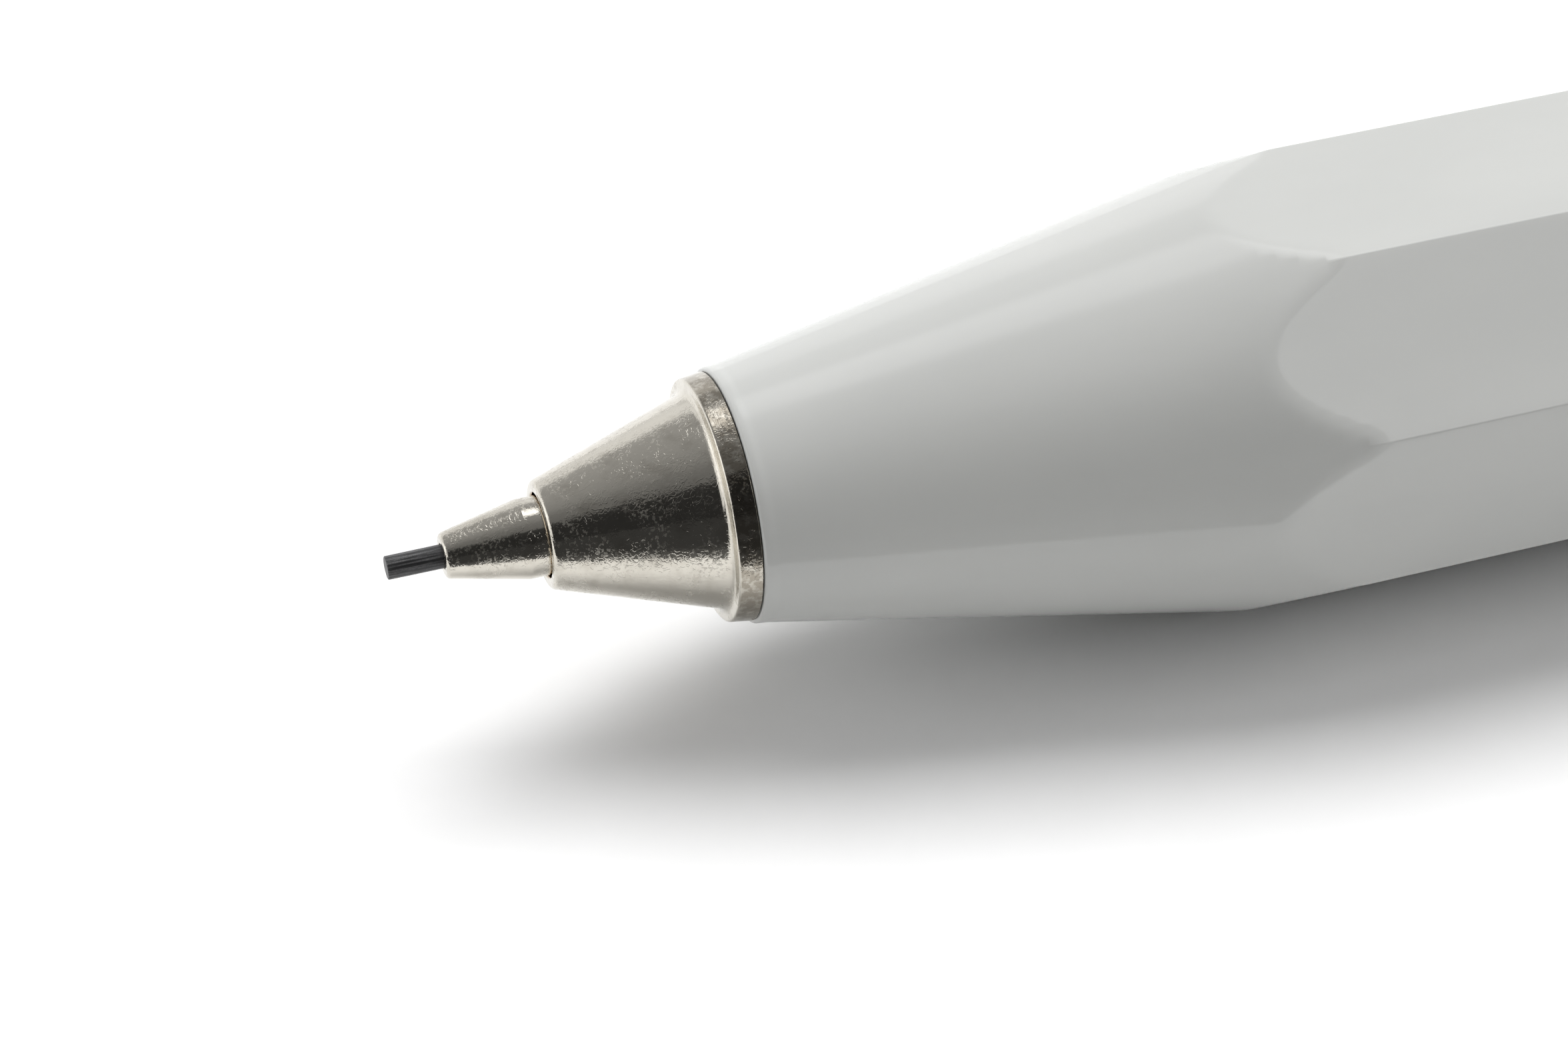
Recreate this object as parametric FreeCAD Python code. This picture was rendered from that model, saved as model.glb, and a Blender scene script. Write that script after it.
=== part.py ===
import FreeCAD, Part
import math
import os

V = FreeCAD.Vector

# A pocket push-button lead holder (clutch pencil) with an octagonal barrel, lying on one facet.
# Each turned piece is drawn as an outline of (station, radius) corners in millimetres. The station
# is the distance behind the point of the lead, measured along the pencil's axis.
# In the finished frame X runs along the pencil with the point towards -X, and Z is up.

# ---- whole pencil ----
TOTAL_LENGTH = 106.6
ACROSS_FLATS = 13.0
AXIS_HEIGHT = ACROSS_FLATS / 2
RUNNING_GAP = 0.06

# ---- lead ----
LEAD_RADIUS = 0.35
LEAD_CHAMFER = 0.04
LEAD_END = 48.0
SPARE_LEAD_LENGTH = 60.0
SPARE_LEAD_COUNT = 3

# ---- barrel ----
BARREL_FRONT = 10.03
BARREL_REAR = 97.6
RIM_RADIUS = 3.725
RIM_ROUND = 0.12
CONE_SLOPE = 0.191
CORNER_RADIUS = ACROSS_FLATS / 2 / math.cos(math.radians(22.5))
PRISM_EDGE_ROUND = 0.3
BORE_FRONT = 27.0
BORE_REAR = 94.3
BORE_RADIUS = 4.7
REAR_HOLE_FRONT = 95.2
REAR_HOLE_RADIUS = 4.03
REAR_FACE_RADIUS = 5.0
REAR_FACE_ROUND = 0.5
REAR_BEVEL_LENGTH = 3.7

# ---- threaded joint between the barrel and the nose cone ----
INSERT_FRONT = 12.0
INSERT_REAR = 18.5
INSERT_RADIUS = 3.35
INSERT_GROOVE_FRONTS = (13.6, 15.8)
INSERT_GROOVE_WIDTH = 0.6
INSERT_GROOVE_DEPTH = 0.15
INSERT_REAR_GAP = 0.15
THREAD_RADIUS = 2.90
THREAD_GAP = 0.05
CLAMP_FACE = 17.0
MOUTH_RADIUS = 3.0

# ---- nose cone ----
NOSE_FRONT = 4.50
NOSE_FRONT_RADIUS = 1.568
NOSE_SLOPE = 0.335
NOSE_HOLE_RADIUS = 1.235
NOSE_LIP_ROUND = 0.16
NOSE_HOLE_LENGTH = 0.95
NOSE_TAPER_BORE_FRONT = 1.5
NOSE_TAPER_BORE_REAR = 8.15
NOSE_WALL = 0.42
FLANGE_FRONT = 9.30
FLANGE_REAR = 9.95
FLANGE_FRONT_RADIUS = 3.56
FLANGE_REAR_RADIUS = 3.67
SPIGOT_REAR = 16.0
SPIGOT_NECK_RADIUS = 2.62
SPIGOT_CHAMFER = 0.25
NOSE_BORE_RADIUS = 2.37

# ---- drop-in mechanism: lead guide, retainer and sleeve ----
GUIDE_FRONT = 1.62
GUIDE_FRONT_RADIUS = 0.65
GUIDE_HOLE_RADIUS = 0.38
COLLAR_FRONT = 3.97
COLLAR_REAR = 5.55
COLLAR_RADIUS = 1.165
STEP_REAR = 6.1
STEP_RADIUS = 1.55
SHOULDER_REAR = 8.15
CARTRIDGE_RADIUS = 2.25
CHAMBER_FRONT = 9.85
CHAMBER_RADIUS = 1.80
PASSAGE_FRONT = 7.3
PASSAGE_RADIUS = 1.48
PASSAGE_TAPER_FRONT = 6.0
PASSAGE_TAPER_RADIUS = 1.0
POCKET_FRONT = 3.6
POCKET_REAR = 5.6
GUIDE_REAR = 14.6
RETAINER_FRONT = 3.62
RETAINER_FUNNEL_FRONT = 4.9
RETAINER_REAR = 5.2
RETAINER_RADIUS = 0.80
RETAINER_GAP = 0.015
SLEEVE_FRONT = 12.72
SLEEVE_REAR = 29.5
SLEEVE_FLANGE_RADIUS = 2.85
SLEEVE_HOLE_RADIUS = 1.30
SLEEVE_SEAT_GAP = 0.05
PRESS_GAP = 0.03
SPRING_SEAT = 15.5
SPRING_BORE_RADIUS = 1.92

# ---- chuck, jaws, clutch ring and return spring ----
JAW_COUNT = 3
JAW_FRONT = 10.2
JAW_ROOT = 17.80
JAW_FACE_RADIUS = 1.0
JAW_HEAD_RADIUS = 1.28
JAW_TAPER_FRONT = 11.55
JAW_TAPER_REAR = 12.70
JAW_TAPER_REAR_RADIUS = 0.93
JAW_TAIL_RADIUS = 0.86
JAW_GRIP_LENGTH = 2.4
JAW_BORE_RADIUS = 0.362
JAW_SLIT = 0.24
CHUCK_FRONT = 17.88
CHUCK_REAR = 30.5
CHUCK_RADIUS = 0.92
CHUCK_TAIL_RADIUS = 1.10
CHUCK_BORE_RADIUS = 0.42
RING_FRONT = 10.70
RING_REAR = 12.70
RING_RADIUS = 1.74
RING_GRIP_GAP = 0.03
SPRING_WIRE_RADIUS = 0.15
SPRING_COIL_RADIUS = 1.50
SPRING_TURNS = 10

# ---- lead tube and its collar ----
COLLAR_PIECE_FRONT = 26.5
TUBE_FRONT = 33.5
TUBE_REAR = 101.0
TUBE_RADIUS = 2.20
TUBE_BORE_RADIUS = 1.60
COLLAR_PIECE_REAR = 36.1
FUNNEL_WIDE_RADIUS = 1.40
FUNNEL_NARROW_RADIUS = 0.45
FUNNEL_THROAT = 1.2

# ---- eraser and push button ----
FERRULE_FRONT = 96.5
FERRULE_REAR = 101.6
FERRULE_FLOOR = 0.4
FERRULE_ROUND = 0.15
ERASER_REAR = 104.9
ERASER_RADIUS = 1.90
ERASER_STEM_RADIUS = 1.35
ERASER_ROUND = 0.4
BUTTON_FRONT = 90.6
BUTTON_RADIUS = 3.95
BUTTON_WALL = 0.50
BUTTON_TOP_THICKNESS = 1.0
BUTTON_TOP_ROUND = 0.9
BUTTON_CROWN = 0.18
LINER_FRONT = 91.5
LINER_REAR = 101.0
LINER_BORE_RADIUS = 2.24


def corner_arc(before, corner, after, radius):
    """Three points of the arc of that radius which rounds a corner: start, middle and end."""
    to_before = (before - corner).normalize()
    to_after = (after - corner).normalize()
    half_angle = to_before.getAngle(to_after) / 2
    setback = radius / math.tan(half_angle)
    bisector = (to_before + to_after).normalize()
    centre = corner + bisector * (radius / math.sin(half_angle))
    return (corner + to_before * setback, centre - bisector * radius, corner + to_after * setback)


def closed_outline(corners):
    """A closed wire through (station, radius) corners. A third number in a corner rounds it."""
    points = [V(c[0], c[1], 0) for c in corners]
    edges = []
    starts = []
    ends = []
    for i, corner in enumerate(corners):
        if len(corner) == 3:
            before = points[i - 1]
            after = points[(i + 1) % len(points)]
            start, middle, end = corner_arc(before, points[i], after, corner[2])
            edges.append(Part.Arc(start, middle, end).toShape())
        else:
            start = points[i]
            end = points[i]
            edges.append(None)
        starts.append(start)
        ends.append(end)
    wire_edges = []
    for i in range(len(corners)):
        if edges[i]:
            wire_edges.append(edges[i])
        next_start = starts[(i + 1) % len(corners)]
        if ends[i].distanceToPoint(next_start) > 1e-6:
            wire_edges.append(Part.LineSegment(ends[i], next_start).toShape())
    return Part.Wire(wire_edges)


def turned(corners):
    """A solid of revolution about the pencil's axis."""
    face = Part.Face(closed_outline(corners))
    return face.revolve(V(0, 0, 0), V(1, 0, 0), 360)


def tube(front, rear, outer, inner):
    """A plain tube with square ends."""
    return turned([(front, inner), (front, outer), (rear, outer), (rear, inner)])


def save(name, shape):
    """Moves a piece from the axis to its place in the pencil's frame and writes it."""
    shape = shape.removeSplitter() if len(shape.Solids) == 1 else shape
    shape.translate(V(-TOTAL_LENGTH / 2, 0, AXIS_HEIGHT))
    shape.exportStep("parts/" + name + ".step")
    print(name, "solids", len(shape.Solids), "volume", round(shape.Volume, 4), "valid", shape.isValid())


def cone_radius(station):
    """Radius of the barrel's front cone."""
    return RIM_RADIUS + CONE_SLOPE * (station - BARREL_FRONT)


def nose_radius(station):
    """Radius of the nose cone's long taper."""
    return NOSE_FRONT_RADIUS + NOSE_SLOPE * (station - NOSE_FRONT)


def barrel():
    """The octagonal shell: a prism inside a turned envelope, with a stepped bore."""
    blank_radius = CORNER_RADIUS + 0.4
    cone_end = BARREL_FRONT + (blank_radius - RIM_RADIUS) / CONE_SLOPE
    bevel_start = BARREL_REAR - REAR_BEVEL_LENGTH
    bevel_slope = (CORNER_RADIUS - REAR_FACE_RADIUS) / REAR_BEVEL_LENGTH
    blank_rear = bevel_start - (blank_radius - CORNER_RADIUS) / bevel_slope
    envelope = turned([
        (BARREL_FRONT, 0),
        (BARREL_FRONT, RIM_RADIUS, RIM_ROUND),
        (cone_end, blank_radius),
        (blank_rear, blank_radius),
        (BARREL_REAR, REAR_FACE_RADIUS, REAR_FACE_ROUND),
        (BARREL_REAR, 0),
    ])
    corners = []
    for i in range(9):
        angle = math.radians(22.5 + 45 * i)
        corners.append(V(0, CORNER_RADIUS * math.cos(angle), CORNER_RADIUS * math.sin(angle)))
    prism = Part.Face(Part.makePolygon(corners)).extrude(V(TOTAL_LENGTH, 0, 0))
    long_edges = [e for e in prism.Edges if e.Length > TOTAL_LENGTH / 2]
    prism = prism.makeFillet(PRISM_EDGE_ROUND, long_edges)
    bore = turned([
        (BARREL_FRONT - 1, 0),
        (BARREL_FRONT - 1, MOUTH_RADIUS),
        (INSERT_FRONT, MOUTH_RADIUS),
        (INSERT_FRONT, INSERT_RADIUS),
        (INSERT_REAR + 0.3, INSERT_RADIUS),
        (BORE_FRONT, BORE_RADIUS),
        (BORE_REAR, BORE_RADIUS),
        (REAR_HOLE_FRONT, REAR_HOLE_RADIUS),
        (BARREL_REAR + 1, REAR_HOLE_RADIUS),
        (BARREL_REAR + 1, 0),
    ])
    return envelope.common(prism).cut(bore)


def barrel_insert():
    """Brass bush moulded into the barrel. Its two grooves hold it in the plastic."""
    corners = [(INSERT_FRONT, THREAD_RADIUS), (INSERT_FRONT, INSERT_RADIUS)]
    for groove_front in INSERT_GROOVE_FRONTS:
        groove_rear = groove_front + INSERT_GROOVE_WIDTH
        groove_radius = INSERT_RADIUS - INSERT_GROOVE_DEPTH
        corners += [(groove_front, INSERT_RADIUS), (groove_front, groove_radius)]
        corners += [(groove_rear, groove_radius), (groove_rear, INSERT_RADIUS)]
    corners += [
        (INSERT_REAR, INSERT_RADIUS),
        (INSERT_REAR, CARTRIDGE_RADIUS + INSERT_REAR_GAP),
        (CLAMP_FACE, CARTRIDGE_RADIUS + INSERT_REAR_GAP),
        (CLAMP_FACE, THREAD_RADIUS),
    ]
    return turned(corners)


def nose_cone():
    """Plated nose: rounded lip, long taper, flare, flange band and the spigot that screws in."""
    spigot_radius = THREAD_RADIUS - THREAD_GAP
    inner_front = NOSE_FRONT + NOSE_TAPER_BORE_FRONT
    return turned([
        (NOSE_FRONT, NOSE_HOLE_RADIUS, 0.07),
        (NOSE_FRONT, NOSE_FRONT_RADIUS, NOSE_LIP_ROUND),
        (FLANGE_FRONT - 0.02, nose_radius(FLANGE_FRONT - 0.02), 0.30),
        (FLANGE_FRONT, FLANGE_FRONT_RADIUS, 0.07),
        (FLANGE_REAR, FLANGE_REAR_RADIUS, 0.04),
        (FLANGE_REAR, SPIGOT_NECK_RADIUS),
        (FLANGE_REAR + 0.6, SPIGOT_NECK_RADIUS),
        (FLANGE_REAR + 0.8, spigot_radius),
        (SPIGOT_REAR - 0.3, spigot_radius),
        (SPIGOT_REAR, spigot_radius - SPIGOT_CHAMFER),
        (SPIGOT_REAR, NOSE_BORE_RADIUS),
        (NOSE_TAPER_BORE_REAR, NOSE_BORE_RADIUS),
        (inner_front, nose_radius(inner_front) - NOSE_WALL),
        (NOSE_FRONT + NOSE_HOLE_LENGTH, NOSE_HOLE_RADIUS),
    ])


def lead_guide():
    """Tip of the mechanism: the small stepped cone that the lead comes out of."""
    return turned([
        (GUIDE_FRONT, GUIDE_HOLE_RADIUS),
        (GUIDE_FRONT, GUIDE_FRONT_RADIUS, 0.16),
        (COLLAR_FRONT, COLLAR_RADIUS),
        (COLLAR_REAR, COLLAR_RADIUS),
        (STEP_REAR, STEP_RADIUS),
        (SHOULDER_REAR, CARTRIDGE_RADIUS),
        (GUIDE_REAR, CARTRIDGE_RADIUS),
        (GUIDE_REAR, CHAMBER_RADIUS),
        (CHAMBER_FRONT, CHAMBER_RADIUS),
        (CHAMBER_FRONT, PASSAGE_RADIUS),
        (PASSAGE_FRONT, PASSAGE_RADIUS),
        (PASSAGE_TAPER_FRONT, PASSAGE_TAPER_RADIUS),
        (POCKET_REAR, RETAINER_RADIUS),
        (POCKET_FRONT, RETAINER_RADIUS),
        (POCKET_FRONT, GUIDE_HOLE_RADIUS),
    ])


def lead_retainer():
    """Rubber bush that holds the lead while the jaws are open."""
    return turned([
        (RETAINER_FRONT, LEAD_RADIUS + RETAINER_GAP),
        (RETAINER_FRONT, RETAINER_RADIUS),
        (RETAINER_REAR, RETAINER_RADIUS),
        (RETAINER_REAR, LEAD_RADIUS + 0.25),
        (RETAINER_FUNNEL_FRONT, LEAD_RADIUS + RETAINER_GAP),
    ])


def mechanism_sleeve():
    """Body of the drop-in mechanism, clamped between the nose spigot and the barrel's bush."""
    return turned([
        (SLEEVE_FRONT, SLEEVE_HOLE_RADIUS),
        (SLEEVE_FRONT, CHAMBER_RADIUS - PRESS_GAP),
        (GUIDE_REAR + SLEEVE_SEAT_GAP, CHAMBER_RADIUS - PRESS_GAP),
        (GUIDE_REAR + SLEEVE_SEAT_GAP, CARTRIDGE_RADIUS),
        (SPIGOT_REAR + SLEEVE_SEAT_GAP, CARTRIDGE_RADIUS),
        (SPIGOT_REAR + SLEEVE_SEAT_GAP, SLEEVE_FLANGE_RADIUS),
        (CLAMP_FACE, SLEEVE_FLANGE_RADIUS),
        (CLAMP_FACE, CARTRIDGE_RADIUS),
        (SLEEVE_REAR, CARTRIDGE_RADIUS, 0.1),
        (SLEEVE_REAR, SPRING_BORE_RADIUS),
        (SPRING_SEAT, SPRING_BORE_RADIUS),
        (SPRING_SEAT, SLEEVE_HOLE_RADIUS),
    ])


def return_spring():
    """Coil spring that pushes the lead tube back and pulls the jaws shut."""
    height = COLLAR_PIECE_FRONT - SPRING_SEAT - 2 * SPRING_WIRE_RADIUS
    path = Part.makeHelix(height / SPRING_TURNS, height, SPRING_COIL_RADIUS)
    section = Part.Wire(Part.makeCircle(SPRING_WIRE_RADIUS, V(SPRING_COIL_RADIUS, 0, 0), V(0, 1, 0)))
    coil = Part.Wire(path.Edges).makePipeShell([section], True, True)
    coil.rotate(V(0, 0, 0), V(0, 1, 0), 90)
    coil.translate(V(SPRING_SEAT + SPRING_WIRE_RADIUS, 0, 0))
    return coil


def clutch_ring():
    """Brass ring whose inner taper squeezes the jaws onto the lead."""
    return turned([
        (RING_FRONT, JAW_HEAD_RADIUS + RING_GRIP_GAP),
        (RING_FRONT, RING_RADIUS, 0.1),
        (RING_REAR, RING_RADIUS, 0.1),
        (RING_REAR, JAW_TAPER_REAR_RADIUS + RING_GRIP_GAP),
        (JAW_TAPER_FRONT, JAW_HEAD_RADIUS + RING_GRIP_GAP),
    ])


def whole_jaws():
    """All jaws as one turned piece, before the slits."""
    return turned([
        (JAW_FRONT, JAW_BORE_RADIUS),
        (JAW_FRONT, JAW_FACE_RADIUS),
        (JAW_FRONT + 0.35, JAW_HEAD_RADIUS),
        (JAW_TAPER_FRONT, JAW_HEAD_RADIUS),
        (JAW_TAPER_REAR, JAW_TAPER_REAR_RADIUS),
        (JAW_TAPER_REAR + 0.08, JAW_TAIL_RADIUS),
        (JAW_ROOT, JAW_TAIL_RADIUS),
        (JAW_ROOT, CHUCK_BORE_RADIUS),
        (JAW_FRONT + JAW_GRIP_LENGTH, CHUCK_BORE_RADIUS),
        (JAW_FRONT + JAW_GRIP_LENGTH, JAW_BORE_RADIUS),
    ])


def jaw(index):
    """One jaw: a sector of the turned piece, half a slit short on each side."""
    reach = 2.0
    middle = 90 + 360.0 / JAW_COUNT * index
    sector = whole_jaws()
    for side in (-1, 1):
        # This block covers all that lies past the slit on one side of the jaw.
        block_bottom = -JAW_SLIT / 2 if side > 0 else JAW_SLIT / 2 - reach
        block = Part.makeBox(TOTAL_LENGTH, 2 * reach, reach, V(0, -reach, block_bottom))
        block.rotate(V(0, 0, 0), V(1, 0, 0), middle + side * 180.0 / JAW_COUNT)
        sector = sector.cut(block)
    return sector


def chuck():
    """Brass stem that the jaws grow out of, pressed into the collar of the lead tube."""
    return turned([
        (CHUCK_FRONT, CHUCK_BORE_RADIUS),
        (CHUCK_FRONT, CHUCK_RADIUS),
        (COLLAR_PIECE_FRONT, CHUCK_RADIUS),
        (COLLAR_PIECE_FRONT, CHUCK_TAIL_RADIUS),
        (CHUCK_REAR, CHUCK_TAIL_RADIUS),
        (CHUCK_REAR, CHUCK_BORE_RADIUS),
    ])


def tube_collar():
    """Links the chuck to the lead tube, slides in the sleeve, and funnels the next lead."""
    return turned([
        (COLLAR_PIECE_FRONT, CHUCK_TAIL_RADIUS),
        (COLLAR_PIECE_FRONT, SPRING_BORE_RADIUS - RUNNING_GAP),
        (TUBE_FRONT, SPRING_BORE_RADIUS - RUNNING_GAP),
        (TUBE_FRONT, TUBE_BORE_RADIUS),
        (COLLAR_PIECE_REAR, TUBE_BORE_RADIUS),
        (COLLAR_PIECE_REAR, FUNNEL_WIDE_RADIUS),
        (CHUCK_REAR + FUNNEL_THROAT, FUNNEL_NARROW_RADIUS),
        (CHUCK_REAR, FUNNEL_NARROW_RADIUS),
        (CHUCK_REAR, CHUCK_TAIL_RADIUS),
    ])


def lead(front, rear, height):
    """A plain lead rod with both ends broken off slightly rounded."""
    rod = turned([
        (front, 0),
        (front, LEAD_RADIUS, LEAD_CHAMFER),
        (rear, LEAD_RADIUS, LEAD_CHAMFER),
        (rear, 0),
    ])
    rod.translate(V(0, 0, height))
    return rod


def spare_leads():
    """Spare leads lying side by side on the bottom of the lead tube."""
    lie_radius = TUBE_BORE_RADIUS - LEAD_RADIUS - 0.01
    spread = 2 * math.degrees(math.asin((LEAD_RADIUS + 0.01) / lie_radius))
    front = COLLAR_PIECE_REAR + 0.2
    rods = []
    for i in range(SPARE_LEAD_COUNT):
        rod = lead(front, front + SPARE_LEAD_LENGTH, -lie_radius)
        rod.rotate(V(0, 0, 0), V(1, 0, 0), spread * (i - (SPARE_LEAD_COUNT - 1) / 2))
        rods.append(rod)
    return Part.makeCompound(rods)


def eraser_ferrule():
    """Drawn metal cup that plugs the lead tube and holds the eraser."""
    lip_front = TUBE_REAR + 0.02
    lip_radius = TUBE_RADIUS - 0.05
    return turned([
        (FERRULE_FRONT, 0),
        (FERRULE_FRONT, TUBE_BORE_RADIUS - PRESS_GAP, FERRULE_ROUND),
        (lip_front, TUBE_BORE_RADIUS - PRESS_GAP),
        (lip_front, lip_radius),
        (FERRULE_REAR, lip_radius, FERRULE_ROUND),
        (FERRULE_REAR, ERASER_STEM_RADIUS),
        (FERRULE_FRONT + FERRULE_FLOOR, ERASER_STEM_RADIUS),
        (FERRULE_FRONT + FERRULE_FLOOR, 0),
    ])


def eraser():
    """Soft plug whose stem sits in the ferrule."""
    return turned([
        (FERRULE_FRONT + FERRULE_FLOOR, 0),
        (FERRULE_FRONT + FERRULE_FLOOR, ERASER_STEM_RADIUS),
        (FERRULE_REAR, ERASER_STEM_RADIUS),
        (FERRULE_REAR, ERASER_RADIUS),
        (ERASER_REAR, ERASER_RADIUS, ERASER_ROUND),
        (ERASER_REAR, 0),
    ])


def push_button():
    """Plated cap with a slightly crowned top."""
    crown_radius = (BUTTON_RADIUS ** 2 + BUTTON_CROWN ** 2) / (2 * BUTTON_CROWN)
    cap = turned([
        (BUTTON_FRONT, BUTTON_RADIUS - BUTTON_WALL),
        (BUTTON_FRONT, BUTTON_RADIUS, 0.15),
        (TOTAL_LENGTH, BUTTON_RADIUS, BUTTON_TOP_ROUND),
        (TOTAL_LENGTH, 0),
        (TOTAL_LENGTH - BUTTON_TOP_THICKNESS, 0),
        (TOTAL_LENGTH - BUTTON_TOP_THICKNESS, BUTTON_RADIUS - BUTTON_WALL),
    ])
    ball = Part.makeSphere(crown_radius, V(TOTAL_LENGTH - crown_radius, 0, 0))
    return cap.common(ball)


def button_liner():
    """Plastic bush inside the cap that grips the lead tube."""
    return tube(LINER_FRONT, LINER_REAR, BUTTON_RADIUS - BUTTON_WALL, LINER_BORE_RADIUS)


def main():
    os.makedirs("parts", exist_ok=True)
    save("barrel", barrel())
    save("barrel_insert", barrel_insert())
    save("nose_cone", nose_cone())
    save("lead_guide", lead_guide())
    save("lead_retainer", lead_retainer())
    save("mechanism_sleeve", mechanism_sleeve())
    save("return_spring", return_spring())
    save("clutch_ring", clutch_ring())
    for index in range(JAW_COUNT):
        save("jaw_" + str(index + 1), jaw(index))
    save("chuck", chuck())
    save("tube_collar", tube_collar())
    save("lead_tube", tube(TUBE_FRONT, TUBE_REAR, TUBE_RADIUS, TUBE_BORE_RADIUS))
    save("lead", lead(0, LEAD_END, 0))
    save("spare_leads", spare_leads())
    save("eraser_ferrule", eraser_ferrule())
    save("eraser", eraser())
    save("push_button", push_button())
    save("button_liner", button_liner())


main()
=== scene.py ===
import math

import bpy
import numpy as np
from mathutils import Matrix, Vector

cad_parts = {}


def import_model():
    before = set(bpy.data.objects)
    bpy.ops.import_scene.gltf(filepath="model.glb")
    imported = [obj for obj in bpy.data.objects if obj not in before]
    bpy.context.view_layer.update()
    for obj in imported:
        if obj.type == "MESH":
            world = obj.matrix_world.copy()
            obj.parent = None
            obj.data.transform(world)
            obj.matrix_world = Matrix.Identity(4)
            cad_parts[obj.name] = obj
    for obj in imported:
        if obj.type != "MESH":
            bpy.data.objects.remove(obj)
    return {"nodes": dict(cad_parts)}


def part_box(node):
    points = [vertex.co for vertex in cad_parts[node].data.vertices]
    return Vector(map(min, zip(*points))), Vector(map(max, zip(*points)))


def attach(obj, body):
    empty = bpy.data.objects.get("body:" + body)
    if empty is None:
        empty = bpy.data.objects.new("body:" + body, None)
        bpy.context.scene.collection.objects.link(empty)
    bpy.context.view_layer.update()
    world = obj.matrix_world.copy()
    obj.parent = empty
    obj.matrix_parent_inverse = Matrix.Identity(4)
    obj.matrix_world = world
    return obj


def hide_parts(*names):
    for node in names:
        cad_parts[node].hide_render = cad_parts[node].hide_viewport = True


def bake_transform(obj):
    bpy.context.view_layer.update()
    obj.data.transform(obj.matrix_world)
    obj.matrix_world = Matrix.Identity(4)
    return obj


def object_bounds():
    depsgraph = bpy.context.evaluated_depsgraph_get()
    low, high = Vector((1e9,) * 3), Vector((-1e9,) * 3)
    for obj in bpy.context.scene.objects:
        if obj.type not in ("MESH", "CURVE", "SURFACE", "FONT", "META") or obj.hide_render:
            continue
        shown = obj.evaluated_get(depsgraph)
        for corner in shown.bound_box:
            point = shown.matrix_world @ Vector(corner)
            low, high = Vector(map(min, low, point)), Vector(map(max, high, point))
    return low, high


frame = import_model()
cad_low, cad_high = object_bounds()

# A pocket push-button lead holder with an octagonal white barrel and a nickel-plated nose.
# Turned pieces are drawn as outlines of (station, radius) corners in millimetres. A station is the
# distance behind the point of the lead, along the axis. place() turns them into frame metres.

MM = 0.001
FULL_TURN = 2 * math.pi

# ---- places taken from the frame ----
POINT_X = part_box("lead")[0].x
AXIS_Z = (cad_low.z + cad_high.z) / 2
FLAT = (cad_high.z - cad_low.z) / 2 / MM


def reach(node):
    """Front station, rear station and outer radius of a turned CAD node, in millimetres."""
    low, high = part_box(node)
    return (low.x - POINT_X) / MM, (high.x - POINT_X) / MM, (high.z - low.z) / 2 / MM


# ---- barrel ----
# The long edges are crisper than the CAD's 0.3 mm rounding.
FACETS = 8
EDGE_ROUND = 0.10
CORNER_RADIUS = FLAT / math.cos(math.pi / FACETS)
FLAT_HALF_ANGLE = math.atan((FLAT - EDGE_ROUND) * math.tan(math.pi / FACETS) / FLAT)
RIM_RADIUS = 3.725
RIM_ROUND = 0.10
RIM_BEAD = 0.035
BEAD_PLACE = 0.16
BEAD_WIDTH = 0.13
BEAD_REACH = 1
CONE_SLOPE = 0.191
BLEND = 0.06
BLANK_ALLOWANCE = 0.4
SCALLOP_LEAD = 1.0
MOUTH_RADIUS = 3.0
BORE_RADIUS = 4.7
REAR_FACE_RADIUS = 5.0
REAR_BEVEL = 3.7
REAR_HOLE_RADIUS = 4.03
REAR_HOLE_DEPTH = 2.4
BORE_FRONT = 27.0
REAR_WALL = 3.3
BORE_STEP = 0.3

# ---- nose cone ----
# The flange reaches 0.05 mm further back than the CAD's, so that no gap shows at the barrel's rim.
NOSE_LIP_RADIUS = 1.568
NOSE_HOLE_RADIUS = 1.235
NOSE_SLOPE = 0.335
NOSE_BORE_RADIUS = 2.37
NOSE_BORE_FRONT = 8.15
NOSE_HOLE_DEPTH = 0.95
NOSE_WALL = 0.42
NOSE_WALL_START = 1.5
FLANGE_FRONT = 9.30
FLANGE_REAR = 10.0
FLANGE_FRONT_RADIUS = 3.56
SPIGOT_RADIUS = 2.85
SPIGOT_NECK_RADIUS = 2.62
SPIGOT_NECK_LENGTH = 0.6
SPIGOT_CHAMFER = 0.25
THREAD_PITCH = 0.6
THREAD_DEPTH = 0.2
THREAD_START = 0.8
THREAD_RUNOUT = 0.3
THREAD_FADE = 0.3
THREAD_FLANK = 1.35
THREAD_CREST = 0.2

# ---- lead guide ----
GUIDE_LIP_RADIUS = 0.65
GUIDE_HOLE_RADIUS = 0.38
COLLAR_FRONT = 3.97
COLLAR_REAR = 5.55
COLLAR_RADIUS = 1.165
SHOULDER_FRONT = 6.1
SHOULDER_RADIUS = 1.55
SHOULDER_REAR = 8.15
CHAMBER_FRONT = 9.85
CHAMBER_RADIUS = 1.80
PASSAGE_FRONT = 7.3
PASSAGE_RADIUS = 1.48
THROAT_FRONT = 6.0
THROAT_RADIUS = 1.0
POCKET_FRONT = 3.6
POCKET_REAR = 5.6
POCKET_RADIUS = 0.80

# ---- brass bush in the barrel ----
CLAMP_FACE = 17.0
BUSH_THREAD_RADIUS = 2.90
BUSH_REAR_BORE = 2.40
GRIP_GROOVES = (13.6, 15.8)
GRIP_GROOVE_WIDTH = 0.6
GRIP_GROOVE_DEPTH = 0.15

# ---- lead ----
LEAD_LINES = 120
LINE_DEPTH = 0.009
CHIP_DEPTH = 0.03
CHIP_LENGTH = 0.05

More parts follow.
